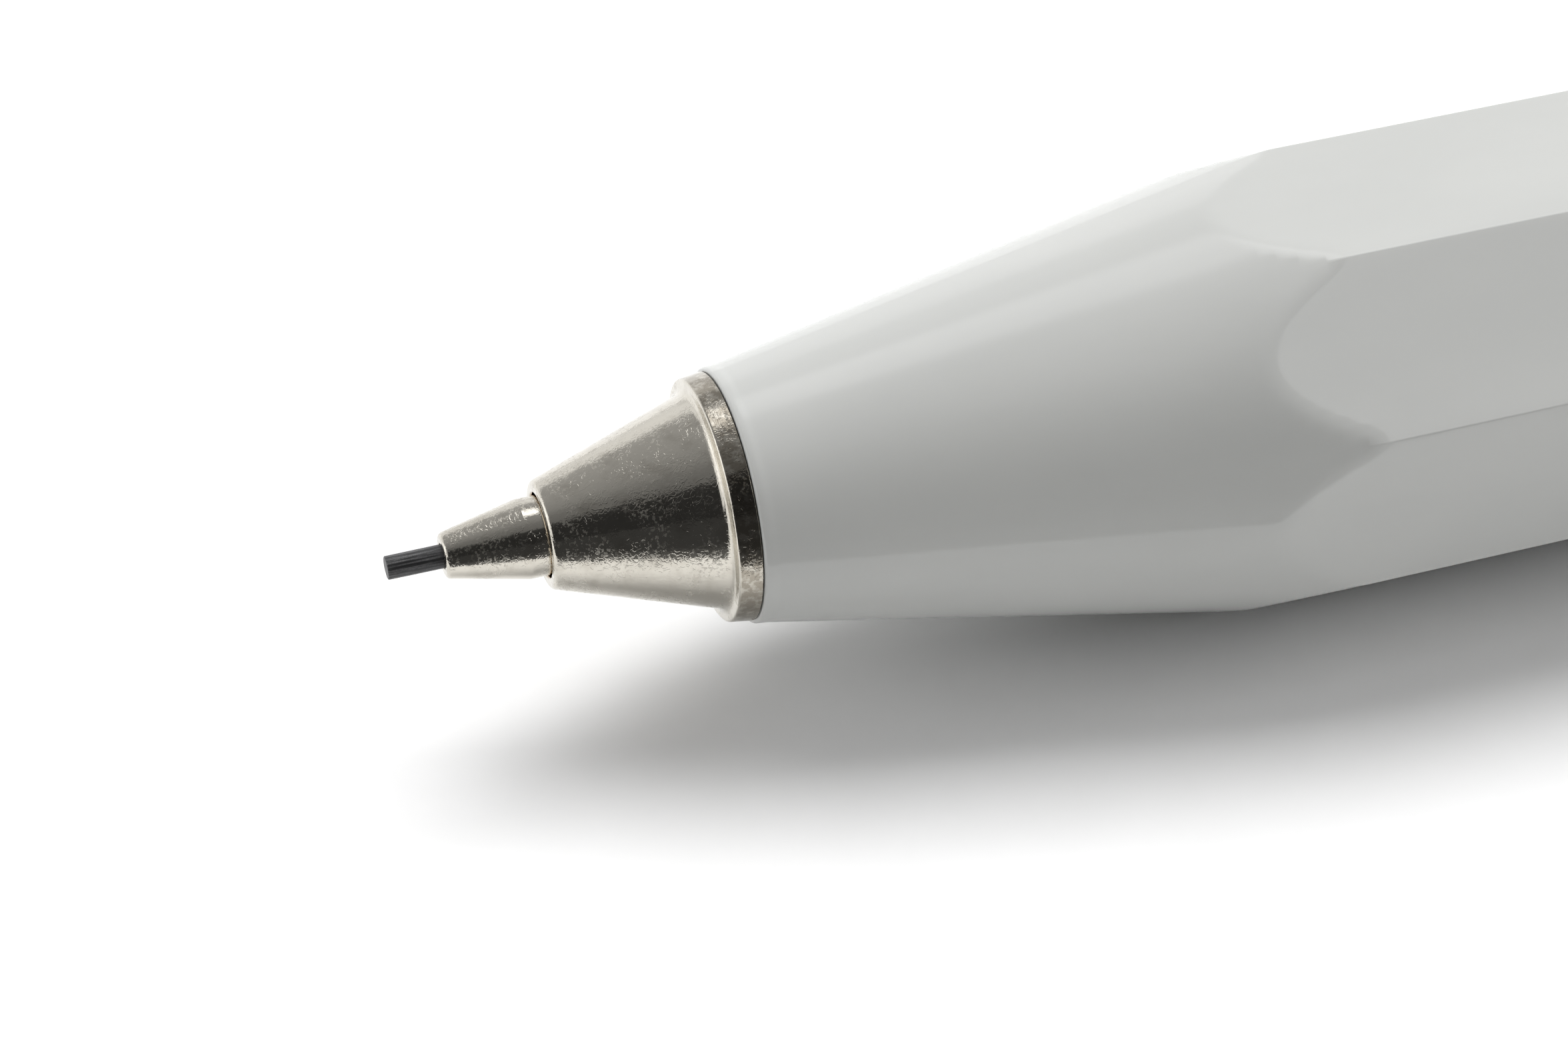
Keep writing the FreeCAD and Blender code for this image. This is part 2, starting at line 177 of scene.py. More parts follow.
# ---- rear pieces ----
TUBE_BORE_RADIUS = 1.6
FERRULE_CUP_RADIUS = 1.57
FERRULE_LIP_RADIUS = 2.15
FERRULE_LIP_GAP = 0.02
FERRULE_FLOOR = 0.4
ERASER_STEM_RADIUS = 1.35
ERASER_WEAR_LENGTH = 0.8
ERASER_WEAR_DEPTH = 0.045
LINER_BORE = 2.24
CAP_WALL = 0.5
CAP_TOP = 1.0
CAP_CROWN = 0.18

# ---- return spring ----
WIRE_RADIUS = 0.15
COIL_RADIUS = 1.5
SPRING_TURNS = 10
CLOSED_SHARE = 0.12
CLOSED_PACE = 0.25


# ======================================================================= mesh code

def place(stations, radii, angles):
    """Frame points, in metres, of (station, radius, angle) on the pencil's axis."""
    x = POINT_X + stations * MM + 0 * angles
    y = radii * MM * np.cos(angles)
    z = AXIS_Z + radii * MM * np.sin(angles)
    return np.stack([x, y, z], axis=-1)


def unit(vector):
    return vector / max(np.linalg.norm(vector), 1e-12)


def rounded_outline(corners, steps=6):
    """Points and outward normals along a closed outline. A corner's third number is its rounding."""
    points = [np.array(c[:2], float) for c in corners]
    area = sum(a[0] * b[1] - b[0] * a[1] for a, b in zip(points, points[1:] + points[:1]))
    if area < 0:
        points.reverse()
        corners = corners[::-1]
    made, normals = [], []
    for i, point in enumerate(points):
        before, after = points[i - 1], points[(i + 1) % len(points)]
        ahead_in, ahead_out = unit(point - before), unit(after - point)
        normal_in = np.array([ahead_in[1], -ahead_in[0]])
        normal_out = np.array([ahead_out[1], -ahead_out[0]])
        turn = math.acos(max(-1.0, min(1.0, float(ahead_in @ ahead_out))))
        if turn < 0.02 or point[1] < 1e-6:
            made.append(point)
            if turn < 0.02:
                normals.append(unit(normal_in + normal_out))
            else:
                normals.append(np.array([normal_in[0] or normal_out[0], 0]))
            continue
        wanted = corners[i][2] if len(corners[i]) == 3 else 0.015
        room = 0.45 * min(np.linalg.norm(point - before), np.linalg.norm(after - point))
        radius = min(wanted, room / math.tan(turn / 2))
        outward = 1 if ahead_in[0] * ahead_out[1] - ahead_in[1] * ahead_out[0] > 0 else -1
        start = point - ahead_in * radius * math.tan(turn / 2)
        centre = start - outward * radius * normal_in
        for k in range(steps + 1):
            share = k / steps
            mixed = math.sin((1 - share) * turn) * normal_in + math.sin(share * turn) * normal_out
            normal = unit(mixed)
            made.append(centre + outward * radius * normal)
            normals.append(normal)
    return np.array(made), np.array(normals)


def add_mesh(name, points, faces, normals=None, keep=None):
    """A smooth-shaded mesh object. Normals are set at the points that keep marks."""
    mesh = bpy.data.meshes.new(name)
    mesh.from_pydata(points.tolist(), [], faces)
    mesh.shade_smooth()
    mesh.update()
    if normals is not None:
        own = np.zeros(len(points) * 3)
        mesh.vertex_normals.foreach_get("vector", own)
        own = own.reshape(-1, 3)
        chosen = normals if keep is None else np.where(keep[:, None], normals, own)
        mesh.normals_split_custom_set_from_vertices(chosen.tolist())
    piece = bpy.data.objects.new(name, mesh)
    bpy.context.scene.collection.objects.link(piece)
    return piece


def even_angles(count):
    return np.arange(count) / count * FULL_TURN


def turned(name, corners, angles=None, relief=None, steps=6):
    """A closed turned piece. relief(stations, radii, angles) may change its radii."""
    angles = even_angles(128) if angles is None else angles
    outline, flat_normals = rounded_outline(corners, steps)
    rows, columns = len(outline), len(angles)
    stations = np.repeat(outline[:, :1], columns, axis=1)
    radii = np.repeat(outline[:, 1:], columns, axis=1)
    turns = np.repeat(angles[None, :], rows, axis=0)
    shaped = radii if relief is None else np.where(radii > 1e-6, relief(stations, radii, turns), radii)
    grid = place(stations, shaped, turns)
    along = np.repeat(flat_normals[:, :1], columns, axis=1)
    out = np.repeat(flat_normals[:, 1:], columns, axis=1)
    normals = np.stack([along, out * np.cos(turns), out * np.sin(turns)], axis=-1)
    moved = np.abs(shaped - radii) > 1e-5

    index = np.zeros((rows, columns), int)
    points, point_normals, keep = [], [], []
    for i in range(rows):
        single = outline[i, 1] < 1e-6
        index[i] = len(points) + (0 if single else np.arange(columns))
        count = 1 if single else columns
        points.extend(grid[i, :count])
        point_normals.extend(normals[i, :count])
        keep.extend(~moved[i, :count])
    faces = []
    for i in range(rows):
        following = (i + 1) % rows
        for j in range(columns):
            across = (j + 1) % columns
            ring = [index[i, j], index[following, j], index[following, across], index[i, across]]
            face = [int(v) for k, v in enumerate(ring) if v != ring[k - 1]]
            if len(face) > 2:
                faces.append(face)
    return add_mesh(name, np.array(points), faces, np.array(point_normals), np.array(keep))


def between(front, rear, step):
    """Evenly spaced stations strictly inside a stretch."""
    count = max(2, round(abs(rear - front) / step))
    return [front + (rear - front) * k / count for k in range(1, count)]


def soft_minimum(a, b, width):
    """The smaller of two heights, with the crease between them rounded over that width."""
    overlap = np.maximum(width - np.abs(a - b), 0) / width
    return np.minimum(a, b) - overlap ** 2 * width / 4


# ======================================================================= shader helpers

class Graph:
    """Adds nodes to a node tree. A socket given as an input is linked, and a value is set."""

    def __init__(self, tree):
        self.tree = tree
        self.cache = {}

    def add(self, kind, inputs, output=0, **settings):
        node = self.tree.nodes.new(kind)
        for key, value in settings.items():
            setattr(node, key, value)
        for key, value in inputs.items():
            self.put(node.inputs[key], value)
        return node.outputs[output] if node.outputs else None

    def put(self, socket, value):
        if isinstance(value, bpy.types.NodeSocket):
            self.tree.links.new(value, socket)
        else:
            socket.default_value = value

    def math(self, operation, *values):
        return self.add("ShaderNodeMath", dict(enumerate(values)), operation=operation)

    def position(self):
        """(station, y, height over the axis) in millimetres, fixed to the piece."""
        if "position" not in self.cache:
            own = self.add("ShaderNodeTexCoord", {}, "Object")
            shift = (-POINT_X / MM, 0, -AXIS_Z / MM)
            inputs = {"Vector": own, "Location": shift, "Scale": (1 / MM, 1 / MM, 1 / MM)}
            self.cache["position"] = self.add("ShaderNodeMapping", inputs)
        return self.cache["position"]

    def parts(self):
        """Station, y and height over the axis as three numbers."""
        if "parts" not in self.cache:
            node = self.tree.nodes.new("ShaderNodeSeparateXYZ")
            self.tree.links.new(self.position(), node.inputs[0])
            self.cache["parts"] = list(node.outputs)
        return self.cache["parts"]

    def radius(self):
        y, height = self.parts()[1:]
        squares = self.math("MULTIPLY", y, y), self.math("MULTIPLY", height, height)
        return self.math("SQRT", self.math("ADD", *squares))

    def stretched(self, along, across):
        """The position with its length and its cross-section scaled apart, for streaks."""
        inputs = {"Vector": self.position(), "Scale": (along, across, across)}
        return self.add("ShaderNodeMapping", inputs)

    def noise(self, scale, vector=None, detail=2.0, rough=0.5, distortion=0.0):
        source = self.position() if vector is None else vector
        inputs = {"Vector": source, "Scale": scale, "Detail": detail}
        inputs.update({"Roughness": rough, "Distortion": distortion})
        return self.add("ShaderNodeTexNoise", inputs)

    def rings(self, scale):
        """Random fine rings round the axis, as a lathe tool leaves them."""
        station = self.parts()[0]
        depth = self.math("ADD", station, self.radius())
        inputs = {"W": depth, "Scale": scale, "Detail": 3.0}
        return self.add("ShaderNodeTexNoise", inputs, noise_dimensions="1D")

    def spread(self, value, low, high, to_low=0.0, to_high=1.0):
        inputs = {"Value": value, "From Min": low, "From Max": high, "To Min": to_low, "To Max": to_high}
        return self.add("ShaderNodeMapRange", inputs, interpolation_type="SMOOTHSTEP")

    def mix(self, share, first, second):
        node = self.tree.nodes.new("ShaderNodeMix")
        node.data_type = "RGBA"
        self.put(node.inputs["Factor"], share)
        colours = [s for s in node.inputs if s.type == "RGBA"]
        self.put(colours[0], first)
        self.put(colours[1], second)
        return next(s for s in node.outputs if s.type == "RGBA")

    def bump(self, height, depth, below=None):
        """Relief of that depth in millimetres. below is the normal it is laid over."""
        inputs = {"Height": height, "Distance": depth * MM, "Strength": 1.0}
        if below is not None:
            inputs["Normal"] = below
        return self.add("ShaderNodeBump", inputs)


def colour(red, green, blue):
    return (red, green, blue, 1.0)


def grey(level):
    return colour(level, level, level)


def material(name, **shader):
    """A new material with a Principled shader, and the graph that feeds it."""
    made = bpy.data.materials.new(name)
    made.use_nodes = True
    surface = made.node_tree.nodes["Principled BSDF"]
    for key, value in shader.items():
        surface.inputs[key.replace("_", " ")].default_value = value
    return made, Graph(made.node_tree), surface.inputs


# ======================================================================= materials

def nickel_plate():
    """Bright nickel: orange-peel ripple, curled hairlines, pits, stains and a copper-bare hole edge."""
    made, graph, surface = material("nickel_plate", Metallic=1.0)
    stain = graph.spread(graph.noise(1.7, detail=4.0), 0.45, 0.75)
    clean, dull = colour(0.63, 0.60, 0.535), colour(0.53, 0.50, 0.44)
    station, radius = graph.parts()[0], graph.radius()
    in_hole = graph.math("MULTIPLY", graph.spread(radius, NOSE_HOLE_RADIUS + 0.05, NOSE_HOLE_RADIUS - 0.01),
                         graph.spread(radius, COLLAR_RADIUS + 0.01, COLLAR_RADIUS + 0.03))
    bare = graph.math("MULTIPLY", in_hole, graph.spread(station, 6.0, 5.5))
    # The flange band is made darker and browner in mottled patches, which dims its reflections.
    band = graph.math("MULTIPLY", graph.spread(station, FLANGE_FRONT + 0.03, FLANGE_FRONT + 0.10),
                      graph.spread(station, FLANGE_REAR + 0.1, FLANGE_REAR))
    mottle = graph.spread(graph.noise(4.0, detail=4.0, rough=0.6), 0.36, 0.56, 0.35, 1.0)
    flange_darkening = graph.math("MULTIPLY", band, mottle)
    plated = graph.mix(flange_darkening, graph.mix(stain, clean, dull), colour(0.34, 0.31, 0.26))
    graph.put(surface["Base Color"], graph.mix(bare, plated, colour(0.34, 0.22, 0.11)))
    shine = graph.spread(graph.noise(2.6, detail=5.0), 0.3, 0.75, 0.045, 0.11)
    grains = graph.spread(graph.noise(11.0, detail=2.0), 0.50, 0.62)
    worn = graph.spread(graph.noise(0.9, detail=4.0), 0.38, 0.62)
    frosted = graph.math("MULTIPLY", grains, worn)
    graph.put(surface["Roughness"], graph.math("ADD", shine, graph.math("MULTIPLY", frosted, 0.30)))

    ripple = graph.noise(5.0, detail=3.0, rough=0.55)
    curl = graph.math("ABSOLUTE", graph.math("SUBTRACT", graph.noise(5.5, detail=1.0, distortion=1.0), 0.5))
    hairline = graph.spread(curl, 0.0, 0.09, 1.0, 0.0)
    patches = graph.spread(graph.noise(1.6, detail=3.0), 0.36, 0.56)
    scratched = graph.math("MULTIPLY", hairline, patches)
    cell = graph.add("ShaderNodeTexVoronoi", {"Vector": graph.position(), "Scale": 4.2}, "Distance")
    pits = graph.spread(cell, 0.03, 0.14)
    normal = graph.bump(ripple, 0.0045)
    normal = graph.bump(scratched, 0.0022, normal)
    normal = graph.bump(pits, 0.003, normal)
    normal = graph.bump(frosted, 0.0012, normal)
    turning = graph.spread(station, FLANGE_FRONT - 0.3, FLANGE_FRONT - 0.1)
    normal = graph.bump(graph.math("MULTIPLY", graph.rings(16.0), turning), 0.003, normal)
    graph.put(surface["Normal"], normal)
    return made


def barrel_plastic():
    """Glossy white moulded plastic with a faint flow ripple and fine handling haze."""
    made, graph, surface = material("barrel_plastic", IOR=1.42, Subsurface_Weight=0.12,
                                    Subsurface_Scale=0.0004)
    surface["Subsurface Radius"].default_value = (1.0, 0.95, 0.85)
    flow = graph.spread(graph.noise(0.25, graph.stretched(0.35, 1.0), detail=3.0), 0.3, 0.7)
    graph.put(surface["Base Color"], graph.mix(flow, colour(0.508, 0.514, 0.50), colour(0.532, 0.537, 0.522)))
    haze = graph.noise(0.8, detail=6.0, rough=0.65)
    graph.put(surface["Roughness"], graph.spread(haze, 0.3, 0.75, 0.05, 0.11))
    normal = graph.bump(graph.noise(0.5, graph.stretched(0.5, 1.0), detail=1.0), 0.004)
    normal = graph.bump(graph.noise(14.0, detail=3.0), 0.00035, normal)
    graph.put(surface["Normal"], normal)
    return made


def graphite():
    """Extruded polymer lead: dark grey with a satin shine and fine lengthwise drawing lines."""
    made, graph, surface = material("graphite", Metallic=0.35)
    lines = graph.noise(9.0, graph.stretched(0.05, 1.6), detail=4.0, rough=0.7)
    grain = graph.noise(24.0, detail=3.0)
    dark, pale = colour(0.03, 0.03, 0.031), colour(0.17, 0.17, 0.172)
    shade = graph.math("MULTIPLY", graph.spread(lines, 0.42, 0.68), graph.spread(grain, 0.25, 0.6, 0.45, 1.0))
    graph.put(surface["Base Color"], graph.mix(shade, dark, pale))
    graph.put(surface["Roughness"], graph.spread(lines, 0.35, 0.65, 0.34, 0.52))
    normal = graph.bump(lines, 0.006)
    graph.put(surface["Normal"], graph.bump(grain, 0.0025, normal))
    return made


def turned_metal(name, clean, dull, low, high, rings, depth):
    """Metal fresh from the lathe: fine rings round the axis, blotchy tone and uneven shine."""
    made, graph, surface = material(name, Metallic=1.0)
    blotch = graph.spread(graph.noise(1.1, detail=4.0), 0.35, 0.7)
    graph.put(surface["Base Color"], graph.mix(blotch, clean, dull))
    graph.put(surface["Roughness"], graph.spread(graph.noise(3.0, detail=4.0), 0.3, 0.7, low, high))
    normal = graph.bump(graph.rings(rings), depth)
    graph.put(surface["Normal"], graph.bump(graph.noise(9.0, detail=2.0), depth / 3, normal))
    return made


def brass():
    clean, dull = colour(0.80, 0.60, 0.30), colour(0.66, 0.45, 0.20)
    return turned_metal("brass", clean, dull, 0.16, 0.3, 9.0, 0.004)


def ferrule_aluminium():
    clean, dull = colour(0.80, 0.80, 0.81), colour(0.66, 0.66, 0.67)
    return turned_metal("ferrule_aluminium", clean, dull, 0.22, 0.38, 5.0, 0.003)


def spring_steel():
    """Drawn wire with a blue-grey sheen and lines along the draw."""
    made, graph, surface = material("spring_steel", Metallic=1.0)
    blotch = graph.spread(graph.noise(2.0, detail=3.0), 0.35, 0.7)
    graph.put(surface["Base Color"], graph.mix(blotch, colour(0.56, 0.57, 0.60), colour(0.40, 0.41, 0.44)))
    graph.put(surface["Roughness"], graph.spread(graph.noise(8.0), 0.3, 0.7, 0.2, 0.34))
    graph.put(surface["Normal"], graph.bump(graph.noise(14.0, detail=3.0), 0.002))
    return made


def dark_plastic(name, deep, worn, low, high, grain, depth):
    """Dark moulded plastic or rubber: fine grain, paler where it has been rubbed."""
    made, graph, surface = material(name, IOR=1.48)
    rub = graph.spread(graph.noise(1.3, graph.stretched(0.4, 1.0), detail=5.0), 0.45, 0.8)
    graph.put(surface["Base Color"], graph.mix(rub, deep, worn))
    graph.put(surface["Roughness"], graph.spread(graph.noise(4.0, detail=4.0), 0.3, 0.7, low, high))
    graph.put(surface["Normal"], graph.bump(graph.noise(grain, detail=3.0), depth))
    return made


def black_plastic():
    deep, worn = colour(0.018, 0.018, 0.02), colour(0.05, 0.05, 0.053)
    return dark_plastic("black_plastic", deep, worn, 0.28, 0.45, 9.0, 0.004)


def black_rubber():
    deep, worn = grey(0.02), colour(0.045, 0.043, 0.04)
    return dark_plastic("black_rubber", deep, worn, 0.6, 0.8, 12.0, 0.008)


def eraser_rubber():
    """Matt white vinyl with a fine pore, a powdery bloom and faint graphite smudges."""
    made, graph, surface = material("eraser_rubber", IOR=1.5, Subsurface_Weight=0.15,
                                    Subsurface_Scale=0.0005)
    powder = graph.spread(graph.noise(1.6, detail=5.0), 0.35, 0.7)
    bloom = graph.mix(powder, colour(0.86, 0.85, 0.82), colour(0.78, 0.77, 0.73))
    rear = reach("eraser")[1]
    near_end = graph.spread(graph.parts()[0], rear - 0.9, rear - 0.05)
    smears = graph.spread(graph.noise(1.9, detail=6.0, rough=0.7), 0.5, 0.72)
    smudge = graph.math("MULTIPLY", smears, near_end)
    graph.put(surface["Base Color"], graph.mix(smudge, bloom, colour(0.42, 0.42, 0.43)))
    graph.put(surface["Roughness"], graph.spread(graph.noise(5.0, detail=4.0), 0.3, 0.7, 0.6, 0.82))
    normal = graph.bump(graph.noise(10.0, detail=4.0, rough=0.7), 0.012)
    graph.put(surface["Normal"], normal)
    return made


# ======================================================================= turned pieces

def octagon_angles():
    """Angles round the axis: close together on the eight rounded edges, wider on the flats."""
    flat_part = np.linspace(-FLAT_HALF_ANGLE, FLAT_HALF_ANGLE, 17)
    edge_part = np.linspace(FLAT_HALF_ANGLE, FULL_TURN / FACETS - FLAT_HALF_ANGLE, 9)[1:-1]
    one = np.concatenate([flat_part, edge_part])
    return np.concatenate([one + k * FULL_TURN / FACETS for k in range(FACETS)])


def octagon_radius(angles):
    """Distance from the axis to the octagon with rounded edges."""
    step = FULL_TURN / FACETS
    off_flat = (angles + step / 2) % step - step / 2
    flat = FLAT / np.cos(off_flat)
    off_edge = step / 2 - np.abs(off_flat)
    centre = (FLAT - EDGE_ROUND) / math.cos(step / 2)
    sideways = np.minimum((centre * np.sin(off_edge) / EDGE_ROUND) ** 2, 1)
    arc = centre * np.cos(off_edge) + EDGE_ROUND * np.sqrt(1 - sideways)
    return np.where(np.abs(off_flat) > FLAT_HALF_ANGLE, arc, flat)


def barrel_relief(stations, radii, angles):
    """Cuts the turned blank down to the octagon, and raises a soft bead round the rim."""
    front = reach("barrel")[0]
    outside = radii > RIM_RADIUS - RIM_ROUND
    bead = RIM_BEAD * np.exp(-((stations - front - BEAD_PLACE) / BEAD_WIDTH) ** 2)
    bead = np.where(outside & (stations < front + BEAD_REACH) & (stations > front + 1e-6), bead, 0)
    return soft_minimum(radii + bead, octagon_radius(angles), BLEND)


def barrel():
    """The shell. Its rows are close together wherever barrel_relief bends the surface."""
    front, rear, _ = reach("barrel")
    insert_front, insert_rear, insert_radius = reach("barrel_insert")
    blank = CORNER_RADIUS + BLANK_ALLOWANCE
    cone_end = front + (blank - RIM_RADIUS) / CONE_SLOPE
    scallop_start = front + (FLAT - BLEND - RIM_RADIUS) / CONE_SLOPE - SCALLOP_LEAD
    bead_start, bead_end = front + 0.2, front + 1.2
    bevel_slope = (CORNER_RADIUS - REAR_FACE_RADIUS) / REAR_BEVEL
    blank_rear = rear - REAR_BEVEL - (blank - CORNER_RADIUS) / bevel_slope
    bore_rear = rear - REAR_WALL

    def cone(station):
        return (station, RIM_RADIUS + CONE_SLOPE * (station - front))

    def bevel(station):
        return (station, REAR_FACE_RADIUS + bevel_slope * (rear - station))

    corners = [(front, MOUTH_RADIUS, 0.06), (front, RIM_RADIUS, RIM_ROUND)]
    corners += [cone(s) for s in between(bead_start, bead_end, step=0.08)]
    corners += [cone(s) for s in between(bead_end, scallop_start, step=0.5)]
    corners += [cone(s) for s in between(scallop_start, cone_end, step=0.09)]
    corners += [(cone_end, blank)]
    corners += [(s, blank) for s in between(cone_end, blank_rear, step=6.0)]
    corners += [(blank_rear, blank)]
    corners += [bevel(s) for s in between(blank_rear, rear - 0.6, step=0.07)]
    corners += [
        (rear, REAR_FACE_RADIUS, 0.5),
        (rear, REAR_HOLE_RADIUS, 0.08),
        (rear - REAR_HOLE_DEPTH, REAR_HOLE_RADIUS),
        (bore_rear, BORE_RADIUS),
        (BORE_FRONT, BORE_RADIUS),
        (insert_rear + BORE_STEP, insert_radius),
        (insert_front, insert_radius),
        (insert_front, MOUTH_RADIUS),
    ]
    return turned("barrel_shell", corners, octagon_angles(), barrel_relief)


def thread_wave(stations, angles, front, rear):
    """How far into the thread's groove each point lies, from 0 at a crest to 1 at the root."""
    turn = stations / THREAD_PITCH - angles / FULL_TURN
    groove = np.clip(THREAD_FLANK * (1 - np.abs((turn % 1) * 2 - 1)) - THREAD_CREST, 0, 1)
    fade_in = np.clip((stations - front) / THREAD_FADE, 0, 1)
    fade = fade_in * np.clip((rear - stations) / THREAD_FADE, 0, 1)
    return groove * fade


def nose_cone():
    front, rear, flange_rear_radius = reach("nose_cone")
    thread_front, thread_rear = FLANGE_REAR + THREAD_START, rear - THREAD_RUNOUT

    def taper(station):
        return NOSE_LIP_RADIUS + NOSE_SLOPE * (station - front)

    def relief(stations, radii, angles):
        on_spigot = radii > SPIGOT_RADIUS - 0.1
        groove = THREAD_DEPTH * thread_wave(stations, angles, thread_front, thread_rear)
        return radii - groove * on_spigot * (stations > FLANGE_REAR)

    shoulder = FLANGE_FRONT - 0.02
    wall_start = front + NOSE_WALL_START
    corners = [
        (front, NOSE_HOLE_RADIUS, 0.07),
        (front, NOSE_LIP_RADIUS, 0.16),
        (shoulder, taper(shoulder), 0.3),
        (FLANGE_FRONT + 0.03, FLANGE_FRONT_RADIUS, 0.08),
        (FLANGE_REAR, flange_rear_radius, 0.03),
        (FLANGE_REAR, SPIGOT_NECK_RADIUS, 0.1),
        (FLANGE_REAR + SPIGOT_NECK_LENGTH, SPIGOT_NECK_RADIUS),
        (thread_front, SPIGOT_RADIUS),
    ]
    corners += [(s, SPIGOT_RADIUS) for s in between(thread_front, thread_rear, THREAD_PITCH / 10)]
    corners += [
        (thread_rear, SPIGOT_RADIUS),
        (rear, SPIGOT_RADIUS - SPIGOT_CHAMFER),
        (rear, NOSE_BORE_RADIUS, 0.05),
        (NOSE_BORE_FRONT, NOSE_BORE_RADIUS),
        (wall_start, taper(wall_start) - NOSE_WALL),
        (front + NOSE_HOLE_DEPTH, NOSE_HOLE_RADIUS),
    ]
    return turned("nose_cone_shell", corners, even_angles(160), relief)


def lead_guide():
    front, rear, radius = reach("lead_guide")
    corners = [
        (front, GUIDE_HOLE_RADIUS, 0.03),
        (front, GUIDE_LIP_RADIUS, 0.16),
        (COLLAR_FRONT, COLLAR_RADIUS, 0.1),
        (COLLAR_REAR, COLLAR_RADIUS, 0.1),
        (SHOULDER_FRONT, SHOULDER_RADIUS, 0.1),
        (SHOULDER_REAR, radius, 0.2),
        (rear, radius, 0.05),
        (rear, CHAMBER_RADIUS),
        (CHAMBER_FRONT, CHAMBER_RADIUS),
        (CHAMBER_FRONT, PASSAGE_RADIUS),
        (PASSAGE_FRONT, PASSAGE_RADIUS),
        (THROAT_FRONT, THROAT_RADIUS),
        (POCKET_REAR, POCKET_RADIUS),
        (POCKET_FRONT, POCKET_RADIUS),
        (POCKET_FRONT, GUIDE_HOLE_RADIUS),
    ]
    return turned("lead_guide_tip", corners)


def lead():
    """The stick in use, with shallow lengthwise lines and a chipped front edge."""
    front, rear, radius = reach("lead")
    columns = LEAD_LINES
    draws = np.random.default_rng(11).random((3, columns))
    depth = 0.5 * draws[0] ** 3 + 0.3 * np.roll(draws[0], 1) ** 3 + 0.2 * draws[1]
    chips = np.convolve(np.tile(draws[2], 3), np.ones(9) / 9, "same")[columns:2 * columns]

    def relief(stations, radii, angles):
        column = np.round(angles / FULL_TURN * columns).astype(int) % columns
        outside = radii > radius * 0.8
        end_wear = np.clip(1 - np.abs(stations - front) / CHIP_LENGTH, 0, 1) * outside
        return radii - LINE_DEPTH * depth[column] * outside - CHIP_DEPTH * chips[column] * end_wear

    corners = [(front, 0)]
    corners += [(front + 0.004 * math.sin(9 * share), radius * share) for share in (0.2, 0.4, 0.6, 0.75)]
    corners += [(front, radius, 0.03)]
    corners += [(s, radius) for s in between(front, rear, step=1.5)]
    corners += [(rear, radius, 0.04), (rear, 0)]
    return turned("lead_stick", corners, even_angles(columns), relief)


def barrel_insert():
    front, rear, radius = reach("barrel_insert")

    def relief(stations, radii, angles):
        on_thread = (radii < BUSH_THREAD_RADIUS + 0.02) & (radii > BUSH_REAR_BORE + 0.2)
        groove = THREAD_DEPTH * thread_wave(stations, angles + math.pi, front, CLAMP_FACE)
        return radii + groove * on_thread

    corners = [(front, radius, 0.05)]
    groove_radius = radius - GRIP_GROOVE_DEPTH
    for groove_front in GRIP_GROOVES:
        groove_rear = groove_front + GRIP_GROOVE_WIDTH
        corners += [(groove_front, radius), (groove_front, groove_radius)]
        corners += [(groove_rear, groove_radius), (groove_rear, radius)]
    corners += [
        (rear, radius, 0.05),
        (rear, BUSH_REAR_BORE, 0.05),
        (CLAMP_FACE, BUSH_REAR_BORE),
        (CLAMP_FACE, BUSH_THREAD_RADIUS),
    ]
    corners += [(s, BUSH_THREAD_RADIUS) for s in between(CLAMP_FACE, front, THREAD_PITCH / 10)]
    corners += [(front, BUSH_THREAD_RADIUS)]
    return turned("threaded_bush", corners, even_angles(128), relief)


def lead_tube():
    front, rear, radius = reach("lead_tube")
    corners = [
        (front, TUBE_BORE_RADIUS, 0.05),
        (front, radius, 0.1),
        (rear, radius, 0.15),
        (rear, TUBE_BORE_RADIUS, 0.1),
    ]
    return turned("lead_reservoir_tube", corners, even_angles(96))


def eraser_ferrule():
    front, rear, _ = reach("eraser_ferrule")
    lip_front = reach("lead_tube")[1] + FERRULE_LIP_GAP
    cup_floor = front + FERRULE_FLOOR
    corners = [
        (front, 0),
        (front, FERRULE_CUP_RADIUS, 0.15),
        (lip_front, FERRULE_CUP_RADIUS),
        (lip_front, FERRULE_LIP_RADIUS, 0.06),
        (rear, FERRULE_LIP_RADIUS, 0.15),
        (rear, ERASER_STEM_RADIUS, 0.05),
        (cup_floor, ERASER_STEM_RADIUS),
        (cup_floor, 0),
    ]
    return turned("eraser_cup", corners, even_angles(96))


def eraser():
    front, rear, radius = reach("eraser")
    shoulder = reach("eraser_ferrule")[1]
    wave = np.random.default_rng(5).random(4) * FULL_TURN

    def relief(stations, radii, angles):
        into_wear = (stations - (rear - ERASER_WEAR_LENGTH)) / ERASER_WEAR_LENGTH
        worn = np.clip(into_wear, 0, 1) * (radii > radius * 0.4)
        uneven = np.sin(2 * angles + wave[0]) + 0.6 * np.sin(3 * angles + wave[1])
        uneven = uneven + 0.3 * np.sin(7 * angles + wave[2])
        return radii - ERASER_WEAR_DEPTH * worn * (1.9 + uneven)

    corners = [(front, 0), (front, ERASER_STEM_RADIUS)]
    corners += [(shoulder, ERASER_STEM_RADIUS), (shoulder, radius, 0.12)]
    corners += [(s, radius) for s in between(shoulder, rear - 0.45, step=0.25)]
    corners += [(rear, radius, 0.42)]
    corners += [(rear - 0.01 * share, radius * share) for share in (0.7, 0.5, 0.3)]
    corners += [(rear, 0)]
    return turned("eraser_plug", corners, even_angles(96), relief)


